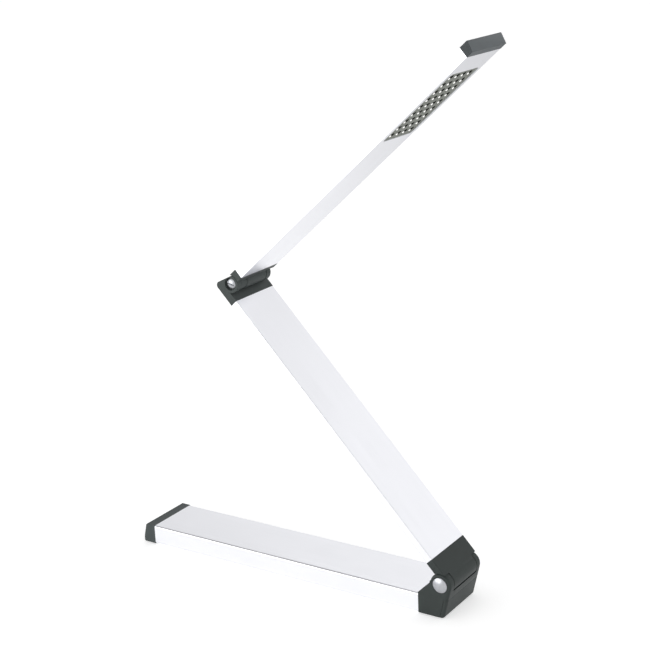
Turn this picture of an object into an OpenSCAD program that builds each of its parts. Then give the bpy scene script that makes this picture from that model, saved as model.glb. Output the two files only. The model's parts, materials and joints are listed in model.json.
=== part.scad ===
// Folding LED desk lamp: three flat bars in a Z, joined by two friction hinges.
// X runs along the base towards its hinge, Y from front to back, Z up.
// The origin is the middle of the underside, on the surface that the lamp stands on.

/* [Pose] */
// Angle between the base and the lower arm, in degrees
lower_open = 47; // [0:1:105]
// Angle between the two arms, in degrees
elbow_open = 88.3; // [0:0.1:145]

/* [Bars] */
// Width of all three bars
bar_w = 46; // [42:0.5:56]
// Length of the base bar
base_l = 240; // [225:1:300]
// Height of the base bar
base_h = 15; // [14.5:0.25:20]
// Wall of the base bar
base_wall = 1.5; // [1.2:0.05:1.6]
// Radius of the base bar's long edges
base_edge_r = 1.4; // [0.8:0.1:2]
// Length of the lower arm's bar
lower_l = 230; // [200:1:280]
// Thickness of the lower arm's bar
lower_t = 6; // [5:0.1:6.2]
// Wall of the lower arm's bar
lower_wall = 1; // [0.8:0.05:1.2]
// Length of the upper arm's bar
upper_l = 245.7; // [225:0.1:300]
// Thickness of the upper arm's bar
upper_t = 7.8; // [7.4:0.1:9]
// Wall of the upper arm's bar
upper_wall = 1.2; // [1:0.05:1.3]
// Radius of the arms' long edges
arm_edge_r = 0.4; // [0.3:0.1:0.9]

/* [Base ends] */
// Lean of every slanted end face, in degrees
end_slant = 14; // [8:1:16]
// Length of the left end cap along its top
base_cap_l = 8.4; // [6:0.1:12]
// Rounding of the end cap's lower corner and of its upright edges
cap_r = 1.8; // [1:0.1:2.4]
// Rounding of the end cap's upper corner
cap_top_r = 0.7; // [0.4:0.1:1.6]
// Length of the tongues that fit into the bars
tongue_l = 12; // [8:0.5:14]
// Depth of the cover let into the hinge block's end
end_cover_t = 2.9; // [2.6:0.1:5]
// Height left above that cover's top edge to the base bar's top
end_cover_drop = 0.8; // [0.4:0.1:2]
// Rounding of that cover's lower corner
cover_foot_r = 1.2; // [0.6:0.1:1.3]

/* [Base hinge] */
// Height of the hinge pin above the base bar's top
pin_rise = 10; // [9.4:0.1:12]
// Distance of the hinge pin from the base bar's end
pin_run = 18; // [16:0.1:22]
// Radius of the ears and of the knuckle's barrel
lug_r = 8.3; // [7.6:0.1:8.8]
// Thickness of each ear
ear_t = 6; // [5:0.1:7]
// Angle of the web that rises to each ear, in degrees
web_angle = 45; // [40:1:50]
// Height of the web's foot above the base bar's top
web_foot = 0.8; // [0.3:0.1:2]
// Rounding of the ears' outer edges
ear_edge_r = 2.1; // [1:0.1:2.6]
// Radius of the hinge pin
pin_r = 2.5; // [2:0.1:3]
// Radius of the pin's domed heads
dome_r = 5.6; // [5:0.1:5.8]
// Height of the domes
dome_h = 1.5; // [1:0.1:2]
// Depth of the recess that each dome sits in
dome_recess = 0.8; // [0.5:0.1:1.2]
// Distance from the hinge pin to the lower arm's bar
knuckle_run = 17.8; // [16:0.1:22]

/* [Elbow] */
// Distance from the lower arm's bar to the elbow screw
elbow_run = 12.1; // [11:0.1:16]
// Height of the elbow screw above the lower arm's bar
elbow_rise = 4.85; // [4.6:0.05:5.4]
// Radius of the fork's ears
elbow_lug_r = 6.6; // [6.4:0.1:6.9]
// Thickness of the fork's ears
elbow_ear_t = 5; // [4.5:0.1:6]
// Depth of the step from the bar's back side to the back ear
elbow_inset = 4.5; // [4:0.1:6]
// Radius of the upper arm's barrel
elbow_barrel_r = 6.5; // [6:0.05:6.6]
// Length of the barrel's collar, beside the front ear
collar_l = 7; // [4:0.5:12]
// Depth of the collar below the barrel's surface
collar_drop = 0.25; // [0.1:0.05:0.5]
// Distance from the elbow screw to the fork's end face
fork_face = 5.2; // [5.1:0.05:5.8]
// Lean of the fork's end face, in degrees
fork_slant = 17; // [12:1:18]
// Rounding of the fork's far corner
fork_corner_r = 3; // [1.5:0.1:3.4]
// Radius of the elbow screw
screw_r = 2; // [1.6:0.1:2.2]
// Radius of the elbow screw's head
screw_head_r = 3.9; // [3.5:0.1:4.1]
// Height of the elbow screw's head
screw_head_h = 1.7; // [1.2:0.1:2]
// Depth of the recess for the screw head
screw_recess = 2.1; // [1.6:0.1:2.6]
// Radius of that recess
screw_recess_r = 4.7; // [4.5:0.1:4.8]
// Width of the screw's slot
slot_w = 1.1; // [0.8:0.1:1.4]
// Turn of the screw's slot from the lower arm, in degrees
slot_turn = -29; // [-90:1:90]
// Distance from the elbow screw to the upper arm's bar
upper_run = 11.8; // [10.5:0.1:15]
// Depth of the upper arm's lower face below the elbow screw
upper_drop = 2.6; // [2.3:0.1:2.8]

/* [Head] */
// Length of the head cap along its outer side
head_cap_l = 7.2; // [6:0.1:12]
// Rounding of the head cap's corners
head_edge_r = 0.4; // [0.3:0.1:1.2]
// Distance from the end wells' centres to the light window's ends
window_margin = 4.9; // [4:0.1:7]
// Distance from the light window to the bar's sides
window_side = 4; // [3.7:0.1:4.4]
// Radius of the window's corners
window_r = 3; // [1:0.1:5]
// Distance from the window to the head end of the bar
window_end = 17.8; // [16:0.1:24]
// Depth of the panel's face in the window
panel_recess = 0.5; // [0.3:0.05:0.7]
// Number of light wells along the bar
led_rows = 9; // [3:1:9]
// Number of light wells across the bar
led_cols = 4; // [2:1:4]
// Pitch of the wells along the bar
led_pitch_x = 7.45; // [7:0.05:7.5]
// Pitch of the wells across the bar
led_pitch_y = 8.4; // [7:0.05:8.6]
// Radius of a light well
well_r = 2.5; // [1.8:0.1:2.6]
// Radius of a light emitter
led_r = 1.1; // [0.8:0.05:1.2]
// Radius of the power button
button_r = 4.5; // [3.5:0.1:6]
// Height of the button above the bar's face
button_proud = 0.7; // [0.6:0.05:1]
// Stroke of the button
button_stroke = 0.5; // [0.3:0.05:0.5]

/* [Battery] */
// Radius of a battery cell
cell_r = 5.25; // [5:0.05:5.3]
// Length of a battery cell
cell_l = 44.5; // [40:0.1:45]

/* [Hidden] */
$fn = 64;

// Clearances
fit_gap = 0.05;         // between a shaft and its bore, and round a plug
slide_gap = 0.1;        // between a tongue and its bar
seam_gap = 0.15;        // width of a visible seam
run_gap = 0.4;          // between an ear and the arm that turns past it
seat_gap = 0.3;         // between the elbow's barrel and its seat
hinge_seat_gap = 0.6;   // between the base hinge's barrel and its seat
side_gap = 0.6;         // between an ear and a barrel, with its washer
washer_t = 0.4;         // thickness of a friction washer
over = 1;               // overrun of a cut past a face
hair = 0.025;           // by which a rounded corner stands proud of the faces beside it

// Levels of the base
pad_t = 0.7;
bar_bottom = pad_t;
bar_top = pad_t + base_h;
bar_floor = bar_bottom + base_wall;
bar_ceiling = bar_top - base_wall;
half_w = bar_w / 2;
half_l = base_l / 2;
slant_run = tan(end_slant);
pin_x = half_l + pin_run;
pin_z = bar_top + pin_rise;
lower_drop = lug_r - lower_t;
seat_r = lug_r + hinge_seat_gap;
barrel_half = half_w - ear_t - side_gap;

// Elbow and upper arm, in the folded arm's own frame
screw_x = -(knuckle_run + lower_l + elbow_run);
screw_z = lug_r + elbow_rise;
fork_bottom = -(elbow_rise + lower_t);
fork_top = -elbow_rise;
elbow_seat_r = elbow_barrel_r + seat_gap;
elbow_clear_r = elbow_lug_r + run_gap;
elbow_front = elbow_ear_t - half_w;
elbow_back = half_w - elbow_inset - elbow_ear_t;
sleeve_t = 1;
upper_low = -upper_drop;
upper_high = upper_t - upper_drop;
bar_end_x = upper_run + upper_l;
window_l = (led_rows - 1) * led_pitch_x + 2 * window_margin;
window_w = bar_w - 2 * window_side;
window_x = bar_end_x - window_end - window_l / 2;
flange = 1.6;
flange_t = 0.8;
panel_low = upper_low + panel_recess;
flange_low = upper_low + upper_wall;
board_low = flange_low + flange_t;
board_t = 1;
led_h = board_low - panel_low;
led_offset = -(well_r - led_r);
wire_r = 0.6;
wire_pitch = 2;

// Button, above the board's head end
button_x = window_x + window_l / 3;
button_flange = 1;
button_flange_t = 0.8;
button_stem_r = 1.5;
button_stem_h = 0.3;
switch_w = 6;
switch_h = 1.5;
plunger_h = 0.2;

// Inside the base
tray_wall = 1.2;
tray_top = 0.8;
cell_gap = 0.2;
cell_nub_r = 1.9;
cell_nub_h = 0.8;
contact_t = 0.4;
contact_spring = 1.8;
cell_y = cell_r + cell_gap + tray_wall / 2;
cell_z = bar_floor + cell_gap + cell_r;
bay_l = 2 * cell_l + 2 * (contact_t + contact_spring);
bay_w = 4 * (cell_r + cell_gap) + tray_wall;
tray_l = bay_l + 2 * tray_wall;
tray_w = bay_w + 2 * tray_wall;
cover_lip = 6;
cover_l = bay_l + 2 * cover_lip;
cover_w = bar_w - 6 * base_edge_r;
pad_end = 8;
ballast_gap = 3;
ballast_h = 10;

steel = [0.66, 0.67, 0.69];
silver = [0.88, 0.885, 0.905];
moulded = [0.27, 0.295, 0.285];
cap_grey = [0.4, 0.42, 0.42];
rubber = [0.12, 0.12, 0.13];
board_green = [0.1, 0.36, 0.2];
panel_grey = [0.5, 0.52, 0.49];
copper = [0.8, 0.5, 0.3];

// Rounded rectangle with true arcs
module rounded_rect(w, h, r) {
    square([w - 2 * r, h], center = true);
    square([w, h - 2 * r], center = true);
    for (sx = [-1, 1], sy = [-1, 1])
        translate([sx * (w / 2 - r), sy * (h / 2 - r)]) circle(r = r);
}

// Section drawn in Y and Z, run along X
module along_x(length) {
    rotate([90, 0, 90]) linear_extrude(length) children();
}

// Profile drawn in X and Z, run across the bar, centred
module across(width) {
    rotate([90, 0, 0]) linear_extrude(width, center = true) children();
}

// Cylinder across the bar, centred on Y = 0
module cross_pin(r, width) {
    rotate([90, 0, 0]) cylinder(r = r, h = width, center = true);
}

// Cylinder across the bar from the plane Y = y0 towards +Y
module cross_bore(r, y0, length) {
    translate([0, y0, 0]) rotate([-90, 0, 0]) cylinder(r = r, h = length);
}

module box_section(length, w, h, r, wall) {
    along_x(length) difference() {
        rounded_rect(w, h, r);
        square([w - 2 * wall, h - 2 * wall], center = true);
    }
}

module tongue(length, w, h, wall) {
    along_x(length) square([w - 2 * (wall + slide_gap), h - 2 * (wall + slide_gap)], center = true);
}

// Both ears of a clevis: the profile is kept where the barrel isn't
module ears(width, thickness) {
    for (side = [-1, 1])
        translate([0, side * (width - thickness) / 2, 0]) across(thickness) children();
}

// Places what is drawn in the lower arm's folded frame
module on_lower() {
    translate([pin_x, 0, pin_z]) rotate([0, lower_open, 0]) children();
}

// Places what is drawn in the upper arm's folded frame, with the elbow screw at its origin
module on_upper() {
    on_lower() translate([screw_x, 0, screw_z]) rotate([0, -elbow_open, 0]) children();
}

// Base

module base_bar() color(silver) difference() {
    translate([-half_l, 0, (bar_bottom + bar_top) / 2])
        box_section(base_l, bar_w, base_h, base_edge_r, base_wall);
    translate([-bay_l / 2, -bay_w / 2, bar_bottom - over]) cube([bay_l, bay_w, base_wall + 2 * over]);
}

// End cap outline seen from the front, both outer corners rounded; x is measured outwards from the bar.
// Each corner's circle stands a hair proud of the flat faces beside it.
module cap_profile(top_l, low_l, h, top_r, low_r) {
    lean = atan((low_l - top_l) / h);
    top_in = top_r - hair;
    low_in = low_r - hair;
    low_x = low_l - (low_in + low_in * sin(lean)) / cos(lean);
    high_x = low_l - (top_in + (h - top_in) * sin(lean)) / cos(lean);
    polygon([[0, 0], [low_x, 0], [low_x + low_in * cos(lean), low_in + low_in * sin(lean)],
        [high_x + top_in * cos(lean), h - top_in + top_in * sin(lean)], [high_x, h], [0, h]]);
    translate([low_x, low_in]) circle(r = low_r);
    translate([high_x, h - top_in]) circle(r = top_r);
}

module base_end_cap() color(moulded) {
    intersection() {
        translate([-half_l, 0, bar_bottom]) mirror([1, 0, 0])
            across(bar_w) cap_profile(base_cap_l, base_cap_l + base_h * slant_run, base_h, cap_top_r, cap_r);
        translate([-half_l, 0, bar_bottom - over]) linear_extrude(base_h + 2 * over)
            rounded_rect(2 * (base_cap_l + base_h * slant_run), bar_w, cap_r);
    }
    translate([-half_l, 0, (bar_bottom + bar_top) / 2])
        tongue(tongue_l, bar_w, base_h, base_wall);
}

// Hinge block, drawn about the pin's axis
block_x = -pin_run;
block_low = bar_bottom - pin_z;
block_floor = -seat_r;
face_x = lug_r * cos(end_slant);
face_z = -lug_r * sin(end_slant);
function face_at(z, inset = 0) = face_x - (face_z - z) * slant_run - inset / cos(end_slant);

// Where the sloping web meets the lug
web_x = block_x;
web_z = web_foot - pin_rise;
web_along = -(web_x * cos(web_angle) + web_z * sin(web_angle));
web_dist = abs(web_x * sin(web_angle) - web_z * cos(web_angle));
web_run = web_along - sqrt(lug_r * lug_r - web_dist * web_dist);
web_top = [web_x + web_run * cos(web_angle), web_z + web_run * sin(web_angle)];

module ear_profile() {
    circle(r = lug_r);
    polygon([[block_x, block_low], [web_x, web_z], web_top, [0, 0], [face_x, face_z],
        [face_at(block_low), block_low]]);
}

module block_profile() {
    difference() {
        polygon([[block_x, block_low], [block_x, -pin_rise], [0, block_floor], [0, 0],
            [face_x, face_z], [face_at(block_low), block_low]]);
        circle(r = seat_r);
    }
}

// Pocket for the end cover
module end_cover_profile(gap) {
    top = -pin_rise - end_cover_drop + gap;
    inset = end_cover_t + gap;
    polygon([[face_at(block_low - over, inset), block_low - over], [face_at(top, inset), top],
        [face_at(top) + over, top], [face_at(block_low - over) + over, block_low - over]]);
}

// Quarter-round cut for an outer edge, with its corner at the origin
module edge_cut(r) {
    difference() {
        translate([0, -r - over]) square([r + over, r + over]);
        circle(r = r);
    }
}

// Rounds the ears' outer edges, up the slanted face and over the lug
module ear_edges() {
    for (side = [0, 1]) mirror([0, side, 0]) rotate([0, end_slant, 0]) {
        translate([lug_r - ear_edge_r, ear_edge_r - half_w, block_low * 2])
            linear_extrude(-block_low * 2) edge_cut(ear_edge_r);
        intersection() {
            rotate([-90, 0, 0]) rotate_extrude()
                translate([lug_r - ear_edge_r, ear_edge_r - half_w]) edge_cut(ear_edge_r);
            translate([-2 * lug_r, -half_w - over, 0])
                cube([4 * lug_r, ear_edge_r + 2 * over, 2 * lug_r]);
        }
    }
}

module hinge_block() color(moulded) translate([pin_x, 0, pin_z]) {
    difference() {
        union() {
            ears(bar_w, ear_t) ear_profile();
            across(bar_w - 2 * ear_t) block_profile();
        }
        across(bar_w + 2 * over) end_cover_profile(seam_gap);
        ear_edges();
        cross_pin(pin_r + fit_gap, bar_w + 2 * over);
        for (side = [0, 1]) mirror([0, side, 0])
            cross_bore(dome_r + run_gap, half_w - dome_recess, dome_recess + over);
    }
    translate([block_x - tongue_l, 0, block_low + base_h / 2])
        tongue(tongue_l, bar_w, base_h, base_wall);
}

// What the rounding of the cover's lower corner takes away
foot_in = cover_foot_r - hair;
foot_z = block_low + foot_in;
foot_x = face_at(foot_z, foot_in);

module foot_cut() {
    reach = cover_foot_r + over;
    translate([foot_x, foot_z]) difference() {
        polygon([[0, 0], reach * [cos(end_slant), -sin(end_slant)],
            reach * [cos(end_slant), -1 - sin(end_slant)], [0, -reach]]);
        circle(r = cover_foot_r);
    }
}

module hinge_end_cover() color(moulded) translate([pin_x, 0, pin_z]) difference() {
    top = -pin_rise - end_cover_drop;
    across(bar_w) polygon([[face_at(block_low, end_cover_t), block_low], [face_at(top, end_cover_t), top],
        [face_at(top), top], [face_at(block_low), block_low]]);
    across(bar_w + 2 * over) foot_cut();
    ear_edges();
}

// Shallow dome on a round base, along +Z
module dome(r, rim, height) {
    ball = (r * r + height * height) / (2 * height);
    rotate_extrude() intersection() {
        translate([0, rim + height - ball]) circle(r = ball, $fn = 4 * $fn);
        square([r, rim + height + over]);
    }
}

pin_rim = dome_recess + fit_gap * 4;
pin_end = half_w - dome_recess + pin_rim / 2;

module hinge_pin() color(steel) translate([pin_x, 0, pin_z]) {
    translate([0, dome_recess - half_w, 0]) rotate([90, 0, 0]) dome(dome_r, pin_rim, dome_h);
    cross_bore(pin_r, dome_recess - half_w, half_w - dome_recess + pin_end);
}

module hinge_nut() color(steel) translate([pin_x, 0, pin_z]) difference() {
    translate([0, half_w - dome_recess, 0]) rotate([-90, 0, 0]) dome(dome_r, pin_rim, dome_h);
    cross_bore(pin_r + fit_gap, half_w - dome_recess - over, over + pin_rim / 2 + fit_gap);
}

// Friction washer across the bar, from the plane Y = y0
module washer(r, hole_r, y0) {
    difference() {
        cross_bore(r, y0, washer_t);
        cross_bore(hole_r, y0 - over, washer_t + 2 * over);
    }
}

module hinge_washer_front() color(steel)
    translate([pin_x, 0, pin_z]) washer(lug_r - ear_edge_r, pin_r + fit_gap, ear_t - half_w);
module hinge_washer_back() color(steel)
    translate([pin_x, 0, pin_z]) washer(lug_r - ear_edge_r, pin_r + fit_gap, half_w - ear_t - washer_t);

module battery_tray() color(rubber) difference() {
    translate([-tray_l / 2, -tray_w / 2, bar_floor])
        cube([tray_l, tray_w, bar_ceiling - bar_floor]);
    for (side = [-1, 1])
        translate([-bay_l / 2, side * cell_y - cell_r - cell_gap, bar_floor - over])
            cube([bay_l, 2 * (cell_r + cell_gap), bar_ceiling - bar_floor - tray_top + over]);
}

// One cell along X, its contact nub at the +X end
module cell() {
    rotate([0, 90, 0]) {
        translate([0, 0, -cell_l / 2]) cylinder(r = cell_r, h = cell_l - cell_nub_h);
        translate([0, 0, cell_l / 2 - 2 * cell_nub_h]) cylinder(r = cell_nub_r, h = 2 * cell_nub_h);
    }
}

module cell_at(end, side) color([0.55, 0.56, 0.6])
    translate([end * cell_l / 2, side * cell_y, cell_z]) mirror([side < 0 ? 1 : 0, 0, 0]) cell();

module cell_1() cell_at(-1, -1);
module cell_2() cell_at(1, -1);
module cell_3() cell_at(-1, 1);
module cell_4() cell_at(1, 1);

// Contact plate at one end of the bay: a coned spring per cell
module contact(end) {
    mirror([end < 0 ? 1 : 0, 0, 0]) for (side = [-1, 1]) {
        translate([bay_l / 2 - contact_t, side * cell_y - cell_r, bar_floor + cell_gap])
            cube([contact_t, 2 * cell_r, 2 * cell_r]);
        translate([cell_l, side * cell_y, cell_z]) rotate([0, 90, 0])
            cylinder(r1 = cell_nub_r, r2 = cell_r - tray_wall, h = contact_spring);
    }
}

module contact_left() color(steel) contact(-1);
module contact_right() color(steel) contact(1);

module battery_cover() color(moulded) {
    linear_extrude(pad_t) rounded_rect(cover_l, cover_w, base_edge_r * 2);
    translate([0, 0, pad_t]) linear_extrude(base_wall)
        square([bay_l - 2 * slide_gap, bay_w - 2 * slide_gap], center = true);
}

module pad(end) {
    length = half_l - pad_end - cover_l / 2 - seam_gap;
    translate([end * (half_l - pad_end - length / 2), 0, 0])
        linear_extrude(pad_t) rounded_rect(length, cover_w, base_edge_r * 2);
}

module pad_left() color(rubber) pad(-1);
module pad_right() color(rubber) pad(1);

ballast_l = half_l - tongue_l - tray_l / 2 - 2 * ballast_gap;

module ballast() color(steel)
    translate([-half_l + tongue_l + ballast_gap, -half_w + base_wall + seam_gap, bar_floor])
        cube([ballast_l, bar_w - 2 * (base_wall + seam_gap), ballast_h]);

// The board stands right of the tray and leaves a lane for the wires
board_x = tray_l / 2 + ballast_gap;
board_l = ballast_l - 2 * ballast_gap;
board_w = bar_w * 0.7;
board_y = -half_w + base_wall + seam_gap;

module control_board() color(board_green)
    translate([board_x, board_y, bar_floor]) cube([board_l, board_w, board_t]);

module control_parts() color(rubber) translate([board_x, board_y, bar_floor + board_t]) {
    translate([board_l / 4, board_w / 4, 0]) cylinder(r = board_l / 9, h = base_h / 2);
    translate([board_l * 2 / 3, board_w / 4, 0]) cylinder(r = board_l / 8, h = base_h / 4);
    translate([board_l / 5, board_w / 2, 0]) cube([board_l / 4, board_w / 4, board_t * 2]);
    translate([board_l * 3 / 5, board_w * 3 / 5, 0]) cube([board_l / 4, board_w / 6, board_t * 2]);
}

// Pair of wires lying on a floor, along X
module wire_pair(x0, x1, y, floor_z) {
    for (i = [0, 1]) translate([x0, y + i * wire_pitch, floor_z + wire_r])
        rotate([0, 90, 0]) cylinder(r = wire_r, h = x1 - x0, $fn = 24);
}

module base_wires() color(copper)
    wire_pair(tray_l / 2, half_l - tongue_l, board_y + board_w + wire_pitch, bar_floor);

// Lower arm, drawn folded: the pin's axis is the origin and the arm runs along -X

module lower_bar() color(silver) on_lower()
    translate([-knuckle_run - lower_l, 0, lug_r - lower_t / 2])
        box_section(lower_l, bar_w, lower_t, arm_edge_r, lower_wall);

module lower_knuckle() color(moulded) on_lower() {
    difference() {
        union() {
            difference() {
                translate([-knuckle_run, 0, lug_r - lower_t / 2])
                    along_x(knuckle_run) rounded_rect(bar_w, lower_t, arm_edge_r);
                for (side = [0, 1]) mirror([0, side, 0])
                    cross_bore(seat_r, barrel_half, ear_t + side_gap + over);
                translate([-over, -half_w - over, 0]) cube([lug_r + over, bar_w + 2 * over, lug_r + over]);
            }
            cross_pin(lug_r, 2 * barrel_half);
        }
        cross_pin(pin_r + sleeve_t + fit_gap, bar_w);
    }
    translate([-knuckle_run - tongue_l, 0, lug_r - lower_t / 2])
        tongue(tongue_l, bar_w, lower_t, lower_wall);
}

// Bushing round a shaft of radius r
module sleeve(r, y0, length) {
    difference() {
        cross_bore(r + sleeve_t, y0, length);
        cross_bore(r + fit_gap, y0 - over, length + 2 * over);
    }
}

module hinge_sleeve() color(copper) on_lower() sleeve(pin_r, -barrel_half, 2 * barrel_half);

// Fork at the lower arm's end, drawn about the elbow screw; the far corner's rounding stands a
// hair past the end face, which then cuts it
fork_blank = 3 * elbow_lug_r;
fork_out = [-cos(fork_slant), sin(fork_slant)];
corner_z = fork_bottom + fork_corner_r;
corner_x = -(fork_face + hair - fork_corner_r - corner_z * sin(fork_slant)) / cos(fork_slant);
corner = [corner_x, corner_z];

module fork_corner() {
    translate(corner) circle(r = fork_corner_r);
}

// Slab under the ears
module fork_slab_profile() {
    fork_corner();
    polygon([[corner_x, fork_bottom], [elbow_run, fork_bottom], [elbow_run, fork_top],
        [-fork_blank, fork_top], corner + 2 * fork_corner_r * fork_out, corner]);
}

// Ear that stands on the slab
module fork_ear_profile() {
    circle(r = elbow_lug_r);
    fork_corner();
    polygon([[corner_x, fork_bottom], [elbow_run, fork_bottom], [elbow_run, fork_top], [0, fork_top],
        [0, 0], fork_blank * fork_out, corner + 2 * fork_corner_r * fork_out, corner]);
}

// Profile drawn in X and Z, run across the bar from the plane Y = y0 to the plane Y = y1
module across_from(y0, y1) {
    translate([0, y1, 0]) rotate([90, 0, 0]) linear_extrude(y1 - y0) children();
}

// What is cut away past the slanted end face
module fork_face_cut() {
    rotate(-fork_slant) translate([-fork_face - 2 * fork_blank, -2 * fork_blank])
        square([2 * fork_blank, 4 * fork_blank]);
}

module elbow_fork() color(moulded) on_lower() translate([screw_x, 0, screw_z]) {
    difference() {
        union() {
            across_from(-half_w, elbow_front) fork_ear_profile();
            across_from(elbow_front, elbow_back) difference() {
                fork_slab_profile();
                circle(r = elbow_seat_r);
            }
            across_from(elbow_back, elbow_back + elbow_ear_t) fork_ear_profile();
            across_from(elbow_back + elbow_ear_t, half_w) fork_slab_profile();
        }
        across(bar_w + 2 * over) fork_face_cut();
        cross_pin(screw_r + fit_gap, bar_w + 2 * over);
        cross_bore(screw_recess_r, -half_w - over, screw_recess + over);
    }
    translate([elbow_run, 0, fork_bottom + lower_t / 2])
        tongue(tongue_l, bar_w, lower_t, lower_wall);
}

nut_r = screw_r * 2;
nut_h = screw_r * 1.2;
nut_y = half_w - elbow_inset;
screw_y = screw_recess - half_w;
screw_root = screw_y - screw_head_h / 5;

module elbow_screw() color(steel) on_lower() translate([screw_x, 0, screw_z]) {
    difference() {
        translate([0, screw_y, 0]) rotate([90, 0, 0]) dome(screw_head_r, screw_head_h / 3, screw_head_h * 2 / 3);
        rotate([0, slot_turn, 0]) translate([-screw_head_r - over, screw_y - screw_head_h - over, -slot_w / 2])
            cube([2 * (screw_head_r + over), screw_head_h * 0.7 + over, slot_w]);
    }
    cross_bore(screw_r, screw_root, nut_y + nut_h - screw_root);
}

module elbow_nut() color(steel) on_lower() translate([screw_x, nut_y, screw_z])
    rotate([-90, 0, 0]) difference() {
        cylinder(r = nut_r, h = nut_h, $fn = 6);
        translate([0, 0, -over]) cylinder(r = screw_r + fit_gap, h = nut_h + 2 * over);
    }

elbow_washer_r = elbow_barrel_r - collar_drop - 2 * side_gap;

module elbow_washer_front() color(steel) on_lower()
    translate([screw_x, 0, screw_z]) washer(elbow_washer_r, screw_r + fit_gap, elbow_front);
module elbow_washer_back() color(steel) on_lower()
    translate([screw_x, 0, screw_z]) washer(elbow_washer_r, screw_r + fit_gap, elbow_back - washer_t);

module lower_wires() color(copper) on_lower()
    wire_pair(-knuckle_run - lower_l + tongue_l, -knuckle_run - tongue_l, -wire_pitch / 2,
        lower_drop + lower_wall);

// Upper arm, drawn folded: the elbow screw's axis is the origin and the arm runs along +X

module upper_bar() color(silver) on_upper() difference() {
    translate([upper_run, 0, (upper_low + upper_high) / 2])
        box_section(upper_l, bar_w, upper_t, arm_edge_r, upper_wall);
    translate([window_x, 0, upper_low - over]) linear_extrude(upper_wall + over + fit_gap)
        rounded_rect(window_l, window_w, window_r);
    translate([button_x, 0, upper_high - upper_wall - fit_gap])
        cylinder(r = button_r + run_gap / 2, h = upper_wall + over);
}

// Barrel, flush with the bar's outer face on one side
module barrel_profile(r) {
    difference() {
        circle(r = r);
        translate([-2 * r, upper_high - fit_gap]) square([4 * r, r]);
    }
}

barrel_y0 = elbow_front + side_gap;
barrel_y1 = elbow_back - side_gap;

module upper_knuckle() color(moulded) on_upper() {
    difference() {
        union() {
            difference() {
                translate([0, 0, (upper_low + upper_high) / 2])
                    along_x(upper_run) rounded_rect(bar_w, upper_t, arm_edge_r);
                cross_bore(elbow_clear_r, -half_w - over, barrel_y0 + half_w + over);
                cross_bore(elbow_clear_r, barrel_y1, half_w - barrel_y1 + over);
            }
            across_from(barrel_y0, barrel_y1) barrel_profile(elbow_barrel_r - collar_drop);
            across_from(barrel_y0 + collar_l, barrel_y1) barrel_profile(elbow_barrel_r);
        }
        cross_pin(screw_r + sleeve_t + fit_gap, bar_w);
    }
    translate([upper_run, 0, (upper_low + upper_high) / 2])
        tongue(tongue_l, bar_w, upper_t, upper_wall);
}

module elbow_sleeve() color(copper) on_upper() sleeve(screw_r, barrel_y0, barrel_y1 - barrel_y0);

module head_cap() color(cap_grey) on_upper() {
    low_l = head_cap_l - upper_t * slant_run;
    intersection() {
        translate([bar_end_x, 0, upper_low]) across(bar_w)
            cap_profile(head_cap_l, low_l, upper_t, head_edge_r, head_edge_r);
        translate([bar_end_x, 0, upper_low - over]) linear_extrude(upper_t + 2 * over)
            rounded_rect(2 * head_cap_l, bar_w, head_edge_r);
    }
    translate([bar_end_x - tongue_l, 0, (upper_low + upper_high) / 2])
        tongue(tongue_l, bar_w, upper_t, upper_wall);
}

// Calls its children once at each light well
module at_wells() {
    for (i = [0 : led_rows - 1], j = [0 : led_cols - 1])
        translate([window_x + (i - (led_rows - 1) / 2) * led_pitch_x, (j - (led_cols - 1) / 2) * led_pitch_y, 0])
            children();
}

module led_panel() color(panel_grey) on_upper() difference() {
    union() {
        translate([window_x, 0, panel_low]) linear_extrude(upper_wall - panel_recess + flange_t / 2)
            rounded_rect(window_l - 2 * slide_gap, window_w - 2 * slide_gap, window_r);
        translate([window_x, 0, flange_low]) linear_extrude(flange_t)
            square([window_l + 2 * flange, window_w + 2 * flange], center = true);
    }
    at_wells() translate([0, 0, upper_low - over]) cylinder(r = well_r, h = upper_wall + flange_t + 2 * over);
}

module led_board() color(board_green) on_upper()
    translate([window_x - window_l / 2 - 2 * flange, 0, board_low])
        translate([0, -window_w / 2 - flange, 0])
            cube([window_l + 4 * flange, window_w + 2 * flange, board_t]);

module leds() color("white") on_upper()
    at_wells() translate([led_offset, 0, board_low]) rotate([180, 0, 0]) {
        cylinder(r = led_r, h = led_h * 0.7, $fn = 24);
        translate([0, 0, led_h * 0.7]) cylinder(r1 = led_r, r2 = led_r * 0.6, h = led_h * 0.3, $fn = 24);
    }

module led_driver() color(rubber) on_upper()
    translate([window_x - window_l / 4, 0, board_low + board_t]) {
        translate([0, -well_r * 3, 0]) cylinder(r = well_r, h = board_t * 2);
        translate([-well_r, well_r, 0]) cube([well_r * 3, well_r * 2, board_t * 1.5]);
    }

module switch_body() color(rubber) on_upper() translate([button_x, 0, board_low + board_t]) {
    translate([-switch_w / 2, -switch_w / 2, 0]) cube([switch_w, switch_w, switch_h]);
    cylinder(r = button_stem_r, h = switch_h + plunger_h);
}

module power_button() color(cap_grey) on_upper() translate([button_x, 0, 0]) {
    inner = upper_high - upper_wall - fit_gap;
    translate([0, 0, inner - button_flange_t]) {
        cylinder(r = button_r + button_flange, h = button_flange_t);
        cylinder(r = button_r, h = upper_high + button_proud - arm_edge_r / 2 - inner + button_flange_t);
        translate([0, 0, upper_high + button_proud - arm_edge_r / 2 - inner + button_flange_t])
            cylinder(r1 = button_r, r2 = button_r - arm_edge_r / 2, h = arm_edge_r / 2);
        translate([0, 0, -button_stem_h]) cylinder(r = button_stem_r, h = button_stem_h);
    }
}

module upper_wires() color(copper) on_upper()
    wire_pair(upper_run + tongue_l, window_x - window_l / 2 - 2 * flange, -wire_pitch / 2,
        upper_low + upper_wall);

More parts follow.
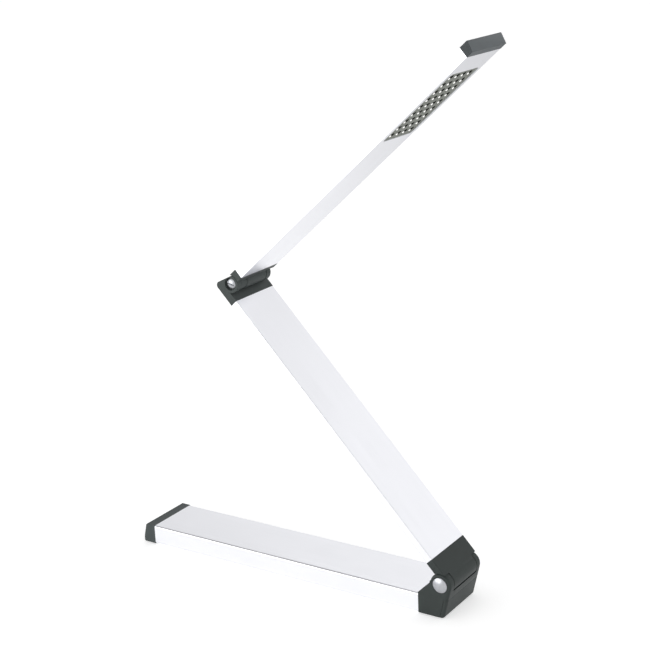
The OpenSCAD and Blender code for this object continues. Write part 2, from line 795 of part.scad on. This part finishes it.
base_bar();
base_end_cap();
hinge_block();
hinge_end_cover();
hinge_pin();
hinge_nut();
hinge_washer_front();
hinge_washer_back();
battery_tray();
cell_1();
cell_2();
cell_3();
cell_4();
contact_left();
contact_right();
battery_cover();
pad_left();
pad_right();
ballast();
control_board();
control_parts();
base_wires();
lower_bar();
lower_knuckle();
elbow_fork();
hinge_sleeve();
elbow_screw();
elbow_nut();
elbow_washer_front();
elbow_washer_back();
lower_wires();
upper_bar();
upper_knuckle();
head_cap();
led_panel();
led_board();
leds();
led_driver();
switch_body();
elbow_sleeve();
upper_wires();
power_button();
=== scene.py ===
import json
import math

import bmesh
import bpy
from mathutils import Matrix, Quaternion, Vector


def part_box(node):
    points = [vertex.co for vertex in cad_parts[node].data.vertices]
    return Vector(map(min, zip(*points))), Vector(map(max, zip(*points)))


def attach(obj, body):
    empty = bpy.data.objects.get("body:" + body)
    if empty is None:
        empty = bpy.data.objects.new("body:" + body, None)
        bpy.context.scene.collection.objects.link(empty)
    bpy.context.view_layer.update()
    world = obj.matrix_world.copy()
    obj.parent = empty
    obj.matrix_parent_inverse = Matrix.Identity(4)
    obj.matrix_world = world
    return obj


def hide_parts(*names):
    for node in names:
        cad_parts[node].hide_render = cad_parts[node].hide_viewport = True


bl_info = {
    "name": "Folding Desk Lamp",
    "version": (1, 0, 0),
    "blender": (4, 5, 0),
    "location": "View3D > Sidebar > Lamp",
    "description": "Gives the packed folding lamp its finishes, lights and camera",
    "category": "Object",
}

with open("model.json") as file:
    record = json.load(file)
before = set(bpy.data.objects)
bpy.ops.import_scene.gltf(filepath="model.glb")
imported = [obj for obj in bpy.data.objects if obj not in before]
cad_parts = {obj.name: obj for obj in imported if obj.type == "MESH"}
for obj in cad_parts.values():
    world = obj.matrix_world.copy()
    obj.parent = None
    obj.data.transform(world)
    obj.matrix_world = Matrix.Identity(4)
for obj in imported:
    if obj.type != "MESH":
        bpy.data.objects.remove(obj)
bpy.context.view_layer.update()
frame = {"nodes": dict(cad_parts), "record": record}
RECORD = frame["record"]
BODY_OF = {node: body for body, nodes in RECORD["behaviour"]["bodies"].items() for node in nodes}
JOINTS = {joint["name"]: joint for joint in RECORD["behaviour"]["joints"]}
PIN = Vector(JOINTS["base_hinge"]["pos_m"])
SCREW = Vector(JOINTS["elbow_hinge"]["pos_m"])

# How far each bar is turned about Y from lying along the base, in degrees. Each arm folds flat at one
# end of its hinge's range, so the ranges give the angles at rest.
LOWER_TURN = -JOINTS["base_hinge"]["range_deg"][0]
UPPER_TURN = LOWER_TURN - JOINTS["elbow_hinge"]["range_deg"][1]
BARS = {"base_bar": 0.0, "lower_bar": LOWER_TURN, "upper_bar": UPPER_TURN}

# Nodes that share a finish
HINGE_MOULDINGS = ("hinge_block", "hinge_end_cover", "lower_knuckle")
ELBOW_MOULDINGS = ("elbow_fork", "upper_knuckle", "battery_cover")
BRIGHT_METAL = ("hinge_pin", "hinge_nut", "elbow_screw", "elbow_nut")
DULL_METAL = ("hinge_washer_front", "hinge_washer_back", "elbow_washer_front", "elbow_washer_back",
              "contact_left", "contact_right", "ballast")
SLEEVES = ("hinge_sleeve", "elbow_sleeve")
INNER_PLASTIC = ("battery_tray", "control_parts", "led_driver", "switch_body")
CELLS = ("cell_1", "cell_2", "cell_3", "cell_4")
PADS = ("pad_left", "pad_right")
WIRES = ("base_wires", "lower_wires", "upper_wires")

# Values between which nearly all of a noise texture lies
NOISE_LOW = 0.3
NOISE_HIGH = 0.7
# Grains to the metre of each finish, and how much longer than wide the bars' draw lines are
DRAW_LINES = 900.0
DRAW_LENGTH = 50.0
BLASTED_GRAIN = 5200.0
ANODISED_CLOUD = 14.0
SPARKED_GRAIN = 2600.0
MOULDED_CLOUD = 60.0
TURNED_RINGS = 900.0
STEEL_SMEAR = 300.0
PLAIN_METAL_CLOUD = 220.0
PANEL_GRAIN = 2400.0
LENS_HAZE = 900.0
RUBBER_GRAIN = 1500.0
INNER_GRAIN = 1200.0
BOARD_GRAIN = 700.0
JACKET_GRAIN = 1000.0

# Rounded copies of the mouldings: how near points are merged, how flat two faces lie that are joined,
# the angle from which an edge is rounded, and the steps of its rounding
MERGE_REACH = 0.000002
FLAT_ANGLE = math.radians(0.4)
EDGE_ANGLE = math.radians(32)
EDGE_STEPS = 2

# Depth over which painted shade darkens the walls of the light wells, depth of a light's white tip, whose
# glow is both the light's own and a painted highlight, and depth of the skin of the head cap's side faces
# that gets painted shade.
# The tip and the skin fade out over the same depth again.
WELL_SHADE = 0.00015
LENS_TIP = 0.00024
CAP_SHADE_SKIN = 0.0002

# Heights above the horizon, in degrees, of the white walls' top, the grey cove above them and the
# white ceiling's edge
WALL_TOP = 34
COVE_LOW = 45
COVE_HIGH = 62
CEILING_EDGE = 70
# Half of the floor's side, how far it lies under the pads, and the distances behind the lamp between
# which the pool of light on it fades
FLOOR_HALF = 6.0
FLOOR_DROP = 0.0002
POOL_NEAR = 0.34
POOL_FAR = 0.62
# Where each soft box stands, the point that it faces and its size
FRONT_BOX = {"place": (-1.15, -1.75, 0.41), "aim": (0.0, 0.0, 0.41), "width": 1.8, "height": 0.8}
BACK_BOX = {"place": (0.1, 1.9, 1.0), "aim": (0.0, 0.0, 0.2), "width": 3.2, "height": 1.3}
# Width in millimetres of the frame that the focal length is given for, and the camera's reach
SENSOR_WIDTH = 36.0
NEAR_CLIP = 0.01
FAR_CLIP = 50.0


# Node helpers

def new_material(name, colour):
    """A material with its node tree, its shader and its object coordinates."""
    mat = bpy.data.materials.new(name)
    mat.use_nodes = True
    mat.diffuse_color = (*colour, 1.0)
    tree = mat.node_tree
    shader = tree.nodes["Principled BSDF"]
    shader.inputs["Base Color"].default_value = (*colour, 1.0)
    coords = tree.nodes.new("ShaderNodeTexCoord").outputs["Object"]
    return mat, tree, shader, coords


def mapped(tree, coords, turn=0.0, centre=(0.0, 0.0, 0.0), scale=(1.0, 1.0, 1.0)):
    """Object coordinates, moved to a centre, turned about Y and then stretched."""
    place = tree.nodes.new("ShaderNodeMapping")
    place.vector_type = "POINT"
    place.inputs["Rotation"].default_value = (0.0, math.radians(-turn), 0.0)
    place.inputs["Location"].default_value = -(levelled(turn) @ Vector(centre))
    tree.links.new(coords, place.inputs["Vector"])
    stretch = tree.nodes.new("ShaderNodeVectorMath")
    stretch.operation = "MULTIPLY"
    stretch.inputs[1].default_value = scale
    tree.links.new(place.outputs["Vector"], stretch.inputs[0])
    return stretch.outputs["Vector"]


def levelled(turn):
    """The turn about Y that lays a bar level again."""
    return Matrix.Rotation(math.radians(-turn), 3, "Y")


def noise(tree, vector, scale, detail=3.0, rough=0.5):
    """A noise texture's factor."""
    tex = tree.nodes.new("ShaderNodeTexNoise")
    tex.inputs["Scale"].default_value = scale
    tex.inputs["Detail"].default_value = detail
    tex.inputs["Roughness"].default_value = rough
    tree.links.new(vector, tex.inputs["Vector"])
    return tex.outputs["Fac"]


def spread(tree, fac, low, high, from_low=NOISE_LOW, from_high=NOISE_HIGH):
    """Maps a factor to a range of values."""
    node = tree.nodes.new("ShaderNodeMapRange")
    node.inputs["From Min"].default_value = from_low
    node.inputs["From Max"].default_value = from_high
    node.inputs["To Min"].default_value = low
    node.inputs["To Max"].default_value = high
    tree.links.new(fac, node.inputs["Value"])
    return node.outputs["Result"]


def share_of(tree, value, start, end):
    """Zero before the start, one after the end and a share of the way between them."""
    return spread(tree, value, low=0.0, high=1.0, from_low=start, from_high=end)


def two_colours(tree, fac, first, second, from_low=NOISE_LOW, from_high=NOISE_HIGH):
    """Colour that goes from the first to the second with the factor."""
    ramp = tree.nodes.new("ShaderNodeValToRGB")
    ramp.color_ramp.elements[0].position = from_low
    ramp.color_ramp.elements[1].position = from_high
    ramp.color_ramp.elements[0].color = (*first, 1.0)
    ramp.color_ramp.elements[1].color = (*second, 1.0)
    tree.links.new(fac, ramp.inputs["Fac"])
    return ramp.outputs["Color"]


def shade(colour, factor):
    """A colour made darker or lighter."""
    return tuple(min(1.0, c * factor) for c in colour)


def tones(tree, fac, colour, darkest, lightest):
    """Colour that wanders between a darker and a lighter tone of one colour."""
    return two_colours(tree, fac, shade(colour, darkest), shade(colour, lightest))


def vary_rough(tree, shader, fac, rough, less, more):
    """Lets the roughness wander to both sides of its own value."""
    tree.links.new(spread(tree, fac, rough - less, rough + more), shader.inputs["Roughness"])


def bump(tree, shader, height, strength, distance):
    """Raises a surface by a factor."""
    node = tree.nodes.new("ShaderNodeBump")
    node.inputs["Strength"].default_value = strength
    node.inputs["Distance"].default_value = distance
    tree.links.new(height, node.inputs["Height"])
    tree.links.new(node.outputs["Normal"], shader.inputs["Normal"])


def along_axis(tree, vector, axis):
    """One component of a vector."""
    split = tree.nodes.new("ShaderNodeSeparateXYZ")
    tree.links.new(vector, split.inputs["Vector"])
    return split.outputs[axis]


def calculated(tree, operation, *values):
    """The result of a Math node."""
    node = tree.nodes.new("ShaderNodeMath")
    node.operation = operation
    for socket, value in zip(node.inputs, values):
        tree.links.new(value, socket)
    return node.outputs["Value"]


def colour_mix(tree, fac):
    """A node that mixes its colours A and B by a factor."""
    mix = tree.nodes.new("ShaderNodeMix")
    mix.data_type = "RGBA"
    tree.links.new(fac, mix.inputs["Factor"])
    return mix


# Finishes

def anodised(name, colour, rough, turn):
    """Satin anodised aluminium: bead-blasted grain with faint draw lines along the bar."""
    mat, tree, shader, coords = new_material(name, colour)
    shader.inputs["Metallic"].default_value = 1.0
    along = mapped(tree, coords, turn, scale=(1.0 / DRAW_LENGTH, 1.0, 1.0))
    grid = mapped(tree, coords, turn)
    lines = noise(tree, along, DRAW_LINES, detail=2.0)
    grain = noise(tree, grid, BLASTED_GRAIN, detail=2.0)
    cloud = noise(tree, grid, ANODISED_CLOUD, detail=2.0)
    tree.links.new(tones(tree, cloud, colour, darkest=0.985, lightest=1.01), shader.inputs["Base Color"])
    vary_rough(tree, shader, lines, rough, less=0.03, more=0.03)
    bump(tree, shader, calculated(tree, "ADD", lines, grain), strength=0.12, distance=0.00004)
    return mat


def moulding(name, colour, rough, painted_side_shade=1.0):
    """Moulded plastic with a fine spark-eroded grain, whose faces to the front and back may get painted
    shade.
    """
    mat, tree, shader, coords = new_material(name, colour)
    grid = mapped(tree, coords)
    grain = noise(tree, grid, SPARKED_GRAIN, rough=0.6)
    cloud = noise(tree, grid, MOULDED_CLOUD)
    tone = tones(tree, cloud, colour, darkest=0.9, lightest=1.12)
    # Painted shade: the faces to the front and back are darkened over a thin skin below them, with the
    # grain kept.
    if painted_side_shade < 1.0:
        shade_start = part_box("head_cap")[1].y - CAP_SHADE_SKIN
        away = calculated(tree, "ABSOLUTE", along_axis(tree, grid, "Y"))
        mix = colour_mix(tree, share_of(tree, away, shade_start - CAP_SHADE_SKIN, shade_start))
        side = tones(tree, grain, shade(colour, painted_side_shade), darkest=0.6, lightest=1.4)
        tree.links.new(tone, mix.inputs["A"])
        tree.links.new(side, mix.inputs["B"])
        tone = mix.outputs["Result"]
    tree.links.new(tone, shader.inputs["Base Color"])
    vary_rough(tree, shader, cloud, rough, less=0.04, more=0.05)
    shader.inputs["Specular IOR Level"].default_value = 0.2
    bump(tree, shader, grain, strength=0.3, distance=0.00006)
    return mat


def turned_steel(name, colour, rough, centre):
    """Bright steel with the faint rings that turning leaves, about an axis along Y."""
    mat, tree, shader, coords = new_material(name, colour)
    shader.inputs["Metallic"].default_value = 1.0
    grid = mapped(tree, coords, centre=centre)
    rings = tree.nodes.new("ShaderNodeTexWave")
    rings.wave_type = "RINGS"
    rings.rings_direction = "Y"
    rings.inputs["Scale"].default_value = TURNED_RINGS
    rings.inputs["Distortion"].default_value = 0.6
    tree.links.new(grid, rings.inputs["Vector"])
    smear = noise(tree, grid, STEEL_SMEAR)
    tree.links.new(tones(tree, smear, colour, darkest=0.93, lightest=1.05), shader.inputs["Base Color"])
    vary_rough(tree, shader, smear, rough, less=0.05, more=0.07)
    bump(tree, shader, rings.outputs["Fac"], strength=0.1, distance=0.00002)
    return mat


def plain_metal(name, colour, rough):
    """Metal as it comes, with a cloudy surface."""
    mat, tree, shader, coords = new_material(name, colour)
    shader.inputs["Metallic"].default_value = 1.0
    cloud = noise(tree, mapped(tree, coords), PLAIN_METAL_CLOUD, detail=4.0)
    tree.links.new(tones(tree, cloud, colour, darkest=0.85, lightest=1.1), shader.inputs["Base Color"])
    vary_rough(tree, shader, cloud, rough, less=0.06, more=0.1)
    return mat


def soft_grain(name, colour, rough, scale, gloss=0.5):
    """Rubber, board or casing: an even colour broken by a fine grain."""
    mat, tree, shader, coords = new_material(name, colour)
    shader.inputs["Specular IOR Level"].default_value = gloss
    grain = noise(tree, mapped(tree, coords), scale, detail=4.0, rough=0.6)
    tree.links.new(tones(tree, grain, colour, darkest=0.8, lightest=1.2), shader.inputs["Base Color"])
    vary_rough(tree, shader, grain, rough, less=0.05, more=0.05)
    bump(tree, shader, grain, strength=0.25, distance=0.00008)
    return mat


def dress(nodes, mat):
    """Gives the objects of some CAD nodes one material."""
    for node in nodes:
        obj = frame["nodes"][node]
        obj.data.materials.clear()
        obj.data.materials.append(mat)


def softened(node, mat, width):
    """A copy of a CAD node with its sharp edges broken, which is shown in its place."""
    mesh = frame["nodes"][node].data.copy()
    mesh.name = node + "_shell"
    work = bmesh.new()
    work.from_mesh(mesh)
    bmesh.ops.remove_doubles(work, verts=work.verts, dist=MERGE_REACH)
    bmesh.ops.dissolve_limit(work, angle_limit=FLAT_ANGLE, verts=work.verts, edges=work.edges,
                             use_dissolve_boundaries=False)
    work.to_mesh(mesh)
    work.free()
    mesh.materials.clear()
    mesh.materials.append(mat)
    mesh.shade_smooth()
    mesh.set_sharp_from_angle(angle=EDGE_ANGLE)
    piece = bpy.data.objects.new(node + "_shell", mesh)
    bpy.context.scene.collection.objects.link(piece)
    edge = piece.modifiers.new("Edges", "BEVEL")
    edge.width = width
    edge.segments = EDGE_STEPS
    edge.limit_method = "ANGLE"
    edge.angle_limit = EDGE_ANGLE
    edge.use_clamp_overlap = True
    edge.harden_normals = True
    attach(piece, BODY_OF[node])
    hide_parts(node)


# Settings

def colour_setting(name, description, default):
    """A colour that the sidebar shows."""
    return bpy.props.FloatVectorProperty(
        name=name, description=description, subtype="COLOR", min=0, max=1, default=default)


def strength_setting(name, description, default):
    """A light's power or a glow's strength."""
    return bpy.props.FloatProperty(name=name, description=description, default=default, min=0)


class LampFinishes(bpy.types.PropertyGroup):
    bar_colour: colour_setting("Bars", "Colour of the anodised bars", (0.85, 0.855, 0.89))
    bar_rough: bpy.props.FloatProperty(
        name="Bar sheen", description="Roughness of the anodised bars", default=0.37, min=0.1, max=0.9)
    dark_colour: colour_setting(
        "Base hinge mouldings", "Colour of the base hinge's mouldings", (0.042, 0.0505, 0.0485))
    elbow_colour: colour_setting(
        "Elbow mouldings", "Colour of the elbow's mouldings and the battery cover", (0.058, 0.068, 0.066))
    cap_colour: colour_setting(
        "Base end cap", "Colour of the cap on the base's free end", (0.068, 0.08, 0.08))
    grey_colour: colour_setting(
        "Grey mouldings", "Colour of the head cap and the button", (0.118, 0.134, 0.142))
    # Share of the head cap's colour that its side faces keep: painted shade.
    painted_side_shade: bpy.props.FloatProperty(
        name="Head cap sides", description="Tone of the head cap's side faces against its end face",
        default=0.5, min=0, max=1)
    moulding_rough: bpy.props.FloatProperty(
        name="Moulding sheen", description="Roughness of the mouldings", default=0.5, min=0.1, max=0.9)
    moulding_edge: bpy.props.FloatProperty(
        name="Moulding edge", description="Rounding of the mouldings' sharp edges", default=0.00025,
        min=0.00005, max=0.001, unit="LENGTH")
    steel_colour: colour_setting("Steel", "Colour of the pins and screws", (0.43, 0.44, 0.46))
    brass_colour: colour_setting("Brass", "Colour of the hinges' sleeves", (0.7, 0.48, 0.22))
    panel_colour: colour_setting(
        "Light panel", "Colour of the panel round the lights", (0.268, 0.284, 0.252))
    # Dark colour of the light board, and of the painted shade on the wells' walls
    board_and_well_shade_colour: colour_setting("Light wells", "Colour inside the wells", (0.028, 0.03, 0.028))
    # The lights' tips are white and glow, both as the lights' own glow and as a painted highlight; their
    # dark sides are painted shade
    tip_highlight_colour: colour_setting("Lenses", "Colour of the small lights' tips", (0.85, 0.85, 0.83))
    cup_shade_colour: colour_setting("Cups", "Colour of the small lights' sides", (0.03, 0.033, 0.03))
    glow_and_glint_colour: colour_setting("Light colour", "Colour that the small lights shine", (1.0, 1.0, 0.98))
    emitter_glow_and_glint: strength_setting("Light glow", "Glow of the small lights", 0.7)
    rubber_colour: colour_setting("Pads", "Colour of the rubber pads", (0.03, 0.03, 0.032))
    inner_colour: colour_setting(
        "Inner plastic", "Colour of the tray and the soldered parts", (0.025, 0.025, 0.027))
    board_colour: colour_setting("Board", "Colour of the control board", (0.03, 0.14, 0.07))
    cell_colour: colour_setting("Cells", "Colour of the cells' wrapping", (0.3, 0.31, 0.34))
    wire_colour: colour_setting("Wires", "Colour of the wires", (0.2, 0.03, 0.03))


class LampStage(bpy.types.PropertyGroup):
    camera_place: bpy.props.FloatVectorProperty(
        name="Camera place", description="Where the camera stands", subtype="XYZ", unit="LENGTH",
        default=(0.6105, -0.8533, 0.5109))
    camera_way: bpy.props.FloatVectorProperty(
        name="Camera way", description="The way that the camera looks", subtype="XYZ",
        default=(-0.5343, 0.7931, -0.2924))
    camera_roll: bpy.props.FloatProperty(
        name="Camera roll", description="Turn of the camera about its own axis", subtype="ANGLE",
        default=math.radians(-2.55))
    camera_lens: bpy.props.FloatProperty(
        name="Lens", description="Focal length in millimetres on a 36 mm frame", default=83.5, min=20)
    floor_colour: colour_setting("Floor", "Colour of the floor", (0.8, 0.8, 0.8))
    floor_glow: strength_setting(
        "Floor glow", "White that the camera sees in the floor besides its light", 0.5)
    floor_near: strength_setting(
        "Near floor in metal", "White that the metal shows of the floor round the lamp", 0.53)
    floor_far: strength_setting(
        "Far floor in metal", "White that the metal shows of the floor behind the lamp", 0.12)
    front_power: strength_setting("Front light", "Power of the low front soft box in watts", 15.0)
    back_power: strength_setting("Back light", "Power of the wide back soft box in watts", 3.2)
    wall_light: strength_setting("Walls", "Strength of the white walls", 1.0)
    cove_light: strength_setting("Cove", "Strength of the grey band between walls and ceiling", 0.24)
    ceiling_light: strength_setting("Ceiling", "Strength of the ceiling", 0.85)


# Pieces

class LAMP_OT_bars(bpy.types.Operator):
    """Finish the three anodised bars"""
    bl_idname = "lamp.bars"
    bl_label = "Bars"

    def execute(self, context):
        look = context.scene.lamp_finishes
        for node, turn in BARS.items():
            dress([node], anodised(node + "_anodised", look.bar_colour, look.bar_rough, turn))
        return {"FINISHED"}


class LAMP_OT_mouldings(bpy.types.Operator):
    """Finish the hinges, the end caps and the button"""
    bl_idname = "lamp.mouldings"
    bl_label = "Mouldings"

    def execute(self, context):
        look = context.scene.lamp_finishes
        rough = look.moulding_rough
        dark = moulding("hinge_moulding", look.dark_colour, rough)
        elbow = moulding("elbow_moulding", look.elbow_colour, rough)
        cap = moulding("cap_moulding", look.cap_colour, rough)
        grey = moulding("grey_moulding", look.grey_colour, rough)
        # The head cap's side faces get painted shade.
        head = moulding("head_moulding_shaded_sides", look.grey_colour, rough, look.painted_side_shade)
        finishes = ((cap, ("base_end_cap",)), (dark, HINGE_MOULDINGS), (elbow, ELBOW_MOULDINGS),
                    (head, ("head_cap",)), (grey, ("power_button",)))
        for mat, nodes in finishes:
            for node in nodes:
                softened(node, mat, look.moulding_edge)
        return {"FINISHED"}


class LAMP_OT_metal(bpy.types.Operator):
    """Finish the pins, screws, washers, sleeves and springs"""
    bl_idname = "lamp.metal"
    bl_label = "Metal parts"

    def execute(self, context):
        look = context.scene.lamp_finishes
        for node in BRIGHT_METAL:
            centre = PIN if node.startswith("hinge") else SCREW
            dress([node], turned_steel(node + "_steel", look.steel_colour, rough=0.32, centre=centre))
        dress(DULL_METAL, plain_metal("dull_steel", shade(look.steel_colour, factor=0.8), rough=0.4))
        dress(SLEEVES, plain_metal("sleeve_brass", look.brass_colour, rough=0.35))
        return {"FINISHED"}


class LAMP_OT_lights(bpy.types.Operator):
    """Finish the light panel and its lights"""
    bl_idname = "lamp.lights"
    bl_label = "Light panel"

    def execute(self, context):
        look = context.scene.lamp_finishes
        level = levelled(UPPER_TURN)
        panel = frame["nodes"]["led_panel"].data.vertices
        face = min((level @ (vertex.co - SCREW)).z for vertex in panel)
        dress(["led_panel"], self.panel(look, face))
        # The light board's own dark colour is also the colour of the painted shade in the wells.
        dress(["led_board"], soft_grain("black_mask", look.board_and_well_shade_colour, rough=0.8, scale=BOARD_GRAIN,
                                        gloss=0.05))
        dress(["leds"], self.lens(look, face))
        return {"FINISHED"}

    def panel(self, look, face):
        """Moulded panel, pale on its face, with painted shade darkening the walls of its wells."""
        mat, tree, shader, coords = new_material("panel_plastic", look.panel_colour)
        grid = mapped(tree, coords, UPPER_TURN, SCREW)
        grain = noise(tree, grid, PANEL_GRAIN, detail=4.0, rough=0.6)
        # Painted shade: below the face, the wells' walls fade to the dark well colour.
        depth = share_of(tree, along_axis(tree, grid, "Z"), face, face + WELL_SHADE)
        mix = colour_mix(tree, depth)
        tree.links.new(tones(tree, grain, look.panel_colour, darkest=0.88, lightest=1.12), mix.inputs["A"])
        mix.inputs["B"].default_value = (*look.board_and_well_shade_colour, 1.0)
        tree.links.new(mix.outputs["Result"], shader.inputs["Base Color"])
        tree.links.new(spread(tree, depth, low=0.55, high=0.95, from_low=0.0, from_high=1.0),
                       shader.inputs["Roughness"])
        shader.inputs["Specular IOR Level"].default_value = 0.15
        bump(tree, shader, grain, strength=0.25, distance=0.00006)
        return mat

    def lens(self, look, face):
        """Lens in a grey cup, whose dark sides are painted shade: white and glowing at its tip, which is
        both the light's glow and a painted highlight.
        """
        mat, tree, shader, coords = new_material("emitter_lens", look.tip_highlight_colour)
        grid = mapped(tree, coords, UPPER_TURN, SCREW)
        haze = noise(tree, grid, LENS_HAZE, detail=2.0)
        # Painted highlight and glow: the tip near the panel's face is white and glows, and the sides below
        # it are painted dark as shade.
        depth = share_of(tree, along_axis(tree, grid, "Z"), face + LENS_TIP, face + 2 * LENS_TIP)
        dark = (0.0, 0.0, 0.0)
        lens = two_colours(tree, depth, look.tip_highlight_colour, look.cup_shade_colour, from_low=0.0, from_high=1.0)
        tree.links.new(lens, shader.inputs["Base Color"])
        shine = two_colours(tree, depth, look.glow_and_glint_colour, dark, from_low=0.0, from_high=1.0)
        tree.links.new(shine, shader.inputs["Emission Color"])
        tree.links.new(spread(tree, haze, low=0.2, high=0.35), shader.inputs["Roughness"])
        shader.inputs["Emission Strength"].default_value = look.emitter_glow_and_glint
        return mat


class LAMP_OT_inside(bpy.types.Operator):
    """Finish the pads and what is inside the bars"""
    bl_idname = "lamp.inside"
    bl_label = "Pads and inner parts"

    def execute(self, context):
        look = context.scene.lamp_finishes
        dress(PADS, soft_grain("pad_rubber", look.rubber_colour, rough=0.75, scale=RUBBER_GRAIN))
        dress(INNER_PLASTIC, soft_grain("inner_plastic", look.inner_colour, rough=0.45, scale=INNER_GRAIN))
        dress(["control_board"], soft_grain("board_mask", look.board_colour, rough=0.3, scale=BOARD_GRAIN))
        dress(CELLS, plain_metal("cell_wrap", look.cell_colour, rough=0.35))
        dress(WIRES, soft_grain("wire_jacket", look.wire_colour, rough=0.4, scale=JACKET_GRAIN))
        return {"FINISHED"}


def soft_box(name, power, place, aim, width, height):
    """A rectangular area light that faces a point."""
    data = bpy.data.lights.new(name, "AREA")
    data.shape = "RECTANGLE"
    data.size = width
    data.size_y = height
    data.energy = power
    obj = bpy.data.objects.new(name, data)
    bpy.context.scene.collection.objects.link(obj)
    obj.location = place
    obj.rotation_euler = (Vector(aim) - Vector(place)).to_track_quat("-Z", "Y").to_euler()


class LAMP_OT_stage(bpy.types.Operator):
    """Set the floor, the lights, the white room and the camera"""
    bl_idname = "lamp.stage"
    bl_label = "Stage"

    def execute(self, context):
        scene = context.scene
        stage = scene.lamp_stage
        scene.view_settings.view_transform = "Standard"
        self.floor(scene, stage)
        self.room(scene, stage)
        soft_box("front_box", stage.front_power, **FRONT_BOX)
        soft_box("back_box", stage.back_power, **BACK_BOX)
        self.camera(scene, stage)
        return {"FINISHED"}

    def floor(self, scene, stage):
        """A wide sheet of paper under the lamp."""
        mesh = bpy.data.meshes.new("floor")
        work = bmesh.new()
        bmesh.ops.create_grid(work, x_segments=1, y_segments=1, size=FLOOR_HALF)
        bmesh.ops.translate(work, verts=work.verts, vec=(0.0, 0.0, -FLOOR_DROP))
        work.to_mesh(mesh)
        work.free()
        mesh.materials.append(self.paper(stage))
        floor = bpy.data.objects.new("floor", mesh)
        scene.collection.objects.link(floor)

    def paper(self, stage):
        """Pale paper, to which the camera and the gloss of the lamp see some white added."""
        mat, tree, shader, coords = new_material("floor_paper", stage.floor_colour)
        shader.inputs["Roughness"].default_value = 0.9
        shader.inputs["Specular IOR Level"].default_value = 0.1
        seen = tree.nodes.new("ShaderNodeLightPath").outputs
        mirrored = seen["Is Glossy Ray"]
        either = calculated(tree, "MAXIMUM", seen["Is Camera Ray"], mirrored)
        either = calculated(tree, "MAXIMUM", either, seen["Is Transmission Ray"])
        pool = spread(tree, along_axis(tree, coords, "Y"), stage.floor_near, stage.floor_far,
                      POOL_NEAR, POOL_FAR)
        strength = tree.nodes.new("ShaderNodeMapRange")
        strength.inputs["To Min"].default_value = stage.floor_glow
        tree.links.new(mirrored, strength.inputs["Value"])
        tree.links.new(pool, strength.inputs["To Max"])
        white = tree.nodes.new("ShaderNodeEmission")
        tree.links.new(strength.outputs["Result"], white.inputs["Strength"])
        glow = tree.nodes.new("ShaderNodeAddShader")
        tree.links.new(white.outputs["Emission"], glow.inputs[0])
        tree.links.new(shader.outputs["BSDF"], glow.inputs[1])
        pick = tree.nodes.new("ShaderNodeMixShader")
        tree.links.new(either, pick.inputs["Fac"])
        tree.links.new(shader.outputs["BSDF"], pick.inputs[1])
        tree.links.new(glow.outputs["Shader"], pick.inputs[2])
        tree.links.new(pick.outputs["Shader"], tree.nodes["Material Output"].inputs["Surface"])
        return mat

    def room(self, scene, stage):
        """White walls and a white ceiling with a grey cove between them, which draws the long edges."""
        world = bpy.data.worlds.new("studio_room")
        scene.world = world
        world.use_nodes = True
        tree = world.node_tree
        light = tree.nodes["Background"]
        light.inputs["Color"].default_value = (1.0, 1.0, 1.0, 1.0)
        way = tree.nodes.new("ShaderNodeTexCoord").outputs["Generated"]
        ramp = tree.nodes.new("ShaderNodeValToRGB")
        bands = ((WALL_TOP, stage.wall_light), (COVE_LOW, stage.cove_light),
                 (COVE_HIGH, stage.cove_light), (CEILING_EDGE, stage.ceiling_light))
        while len(ramp.color_ramp.elements) < len(bands):
            ramp.color_ramp.elements.new(1.0)
        for stop, (height, strength) in zip(ramp.color_ramp.elements, bands):
            stop.position = math.sin(math.radians(height))
            stop.color = (strength, strength, strength, 1.0)
        tree.links.new(along_axis(tree, way, "Z"), ramp.inputs["Fac"])
        tree.links.new(ramp.outputs["Color"], light.inputs["Strength"])

    def camera(self, scene, stage):
        """The camera at the photograph's place and angle."""
        data = bpy.data.cameras.new("camera")
        data.lens = stage.camera_lens
        data.sensor_width = SENSOR_WIDTH
        data.clip_start = NEAR_CLIP
        data.clip_end = FAR_CLIP
        camera = bpy.data.objects.new("camera", data)
        scene.collection.objects.link(camera)
        aim = Vector(stage.camera_way).to_track_quat("-Z", "Y")
        turn = aim @ Quaternion((0.0, 0.0, 1.0), stage.camera_roll)
        camera.location = stage.camera_place
        camera.rotation_euler = turn.to_euler()
        scene.camera = camera


class LAMP_PT_panel(bpy.types.Panel):
    """Lists the lamp's pieces and finishes"""
    bl_idname = "LAMP_PT_panel"
    bl_label = "Folding lamp"
    bl_space_type = "VIEW_3D"
    bl_region_type = "UI"
    bl_category = "Lamp"

    def draw(self, context):
        layout = self.layout
        for group in (context.scene.lamp_finishes, context.scene.lamp_stage):
            box = layout.box()
            for name in group.__annotations__:
                box.prop(group, name)
        for op in OPERATORS:
            layout.operator(op.bl_idname)


OPERATORS = (LAMP_OT_bars, LAMP_OT_mouldings, LAMP_OT_metal, LAMP_OT_lights, LAMP_OT_inside,
             LAMP_OT_stage)
CLASSES = (LampFinishes, LampStage, *OPERATORS, LAMP_PT_panel)


def register():
    for cls in CLASSES:
        bpy.utils.register_class(cls)
    bpy.types.Scene.lamp_finishes = bpy.props.PointerProperty(type=LampFinishes)
    bpy.types.Scene.lamp_stage = bpy.props.PointerProperty(type=LampStage)


def unregister():
    del bpy.types.Scene.lamp_stage
    del bpy.types.Scene.lamp_finishes
    for cls in reversed(CLASSES):
        bpy.utils.unregister_class(cls)


def main():
    register()
    bpy.ops.lamp.bars()
    bpy.ops.lamp.mouldings()
    bpy.ops.lamp.metal()
    bpy.ops.lamp.lights()
    bpy.ops.lamp.inside()
    bpy.ops.lamp.stage()


if __name__ == "__main__":
    main()
